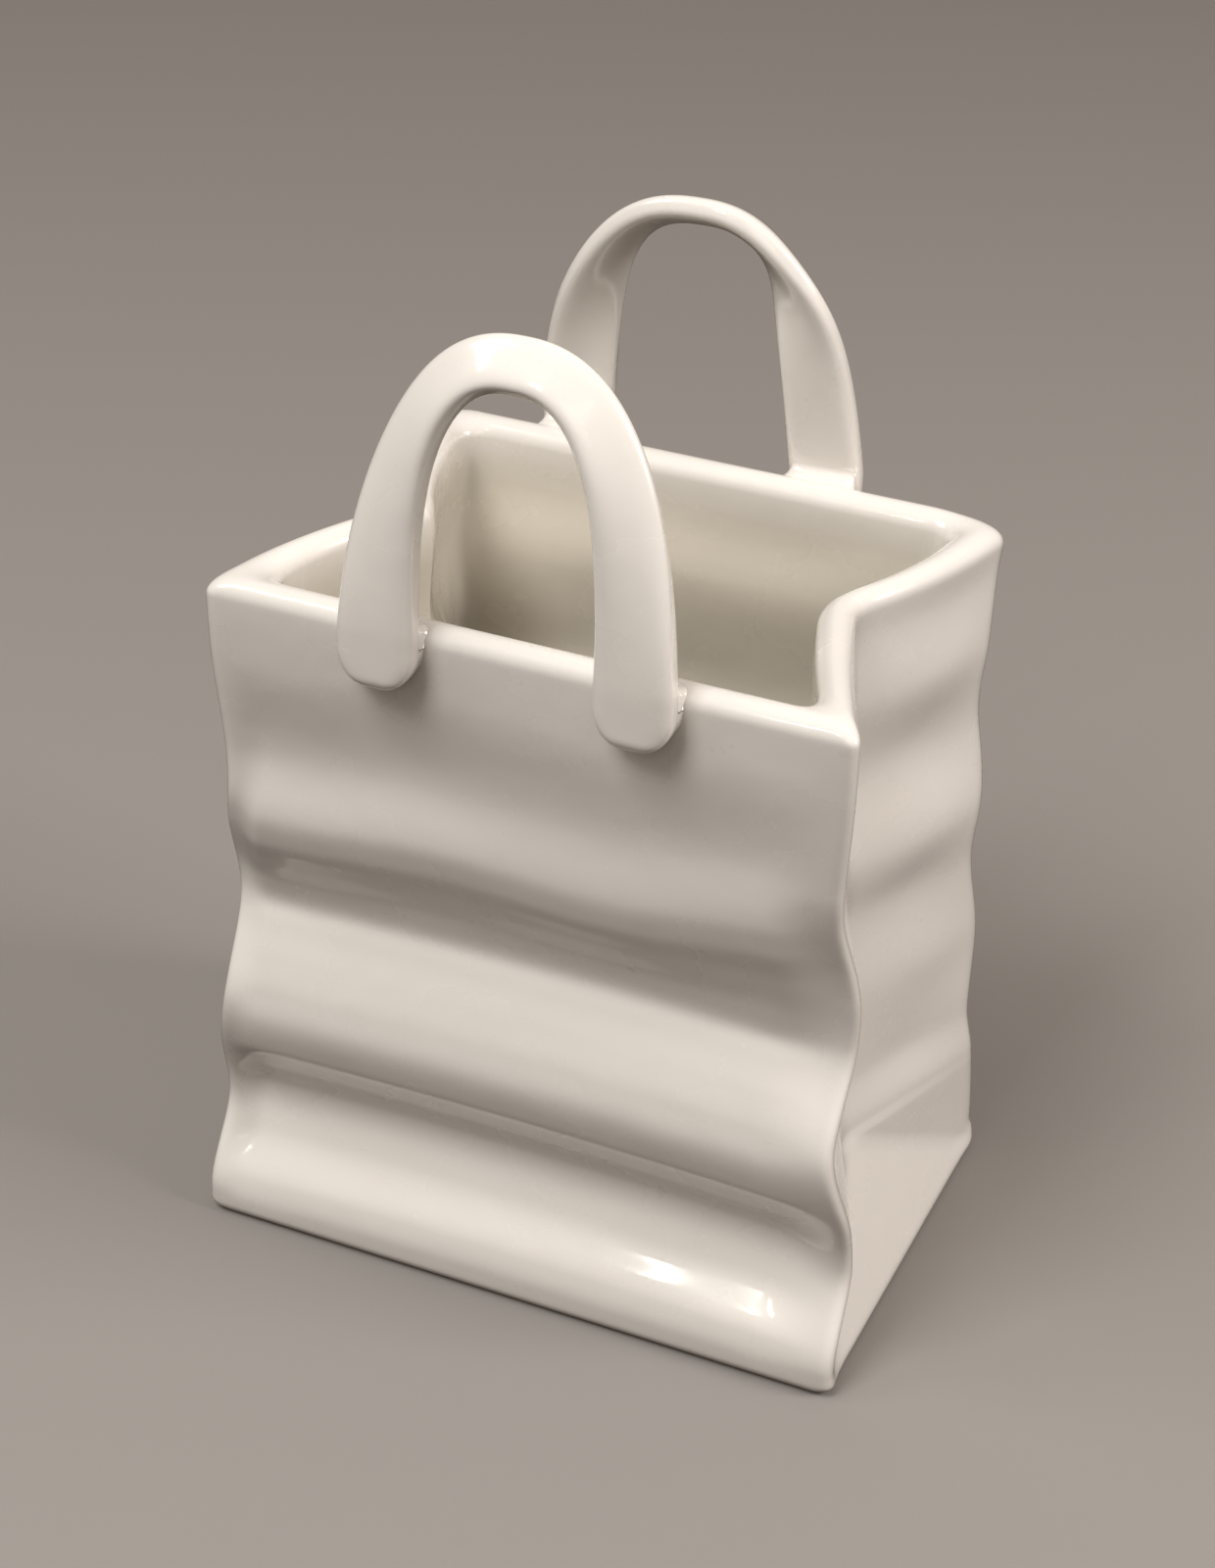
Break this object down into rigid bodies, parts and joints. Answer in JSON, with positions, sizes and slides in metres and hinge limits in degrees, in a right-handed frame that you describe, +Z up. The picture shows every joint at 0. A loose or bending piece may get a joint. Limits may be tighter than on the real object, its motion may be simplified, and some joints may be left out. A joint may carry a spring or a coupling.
{
  "type": "bag vase",
  "caption": "Glazed ceramic vase shaped like a paper carrier bag: waved panels, folded-in sides, open mouth and arched strap handles; stands on a table and holds flowers",
  "frame": {"origin": "middle of the footprint, on the plane that the vase stands on", "axes": "+Z up; X along the width of the bag; the front panel faces -Y"},
  "size_m": [0.1206, 0.0957, 0.1811],
  "materials": {
    "body_glaze": "glossy warm white glaze",
    "handle_glaze": "glossy warm white glaze",
    "slip": "fired slip under the glaze"
  },
  "bodies": {
    "root": {"bag_body": "body_glaze", "front_handle": "handle_glaze", "rear_handle": "handle_glaze", "slip_joint_front_left": "slip", "slip_joint_front_right": "slip", "slip_joint_rear_left": "slip", "slip_joint_rear_right": "slip"}
  },
  "joints": []
}
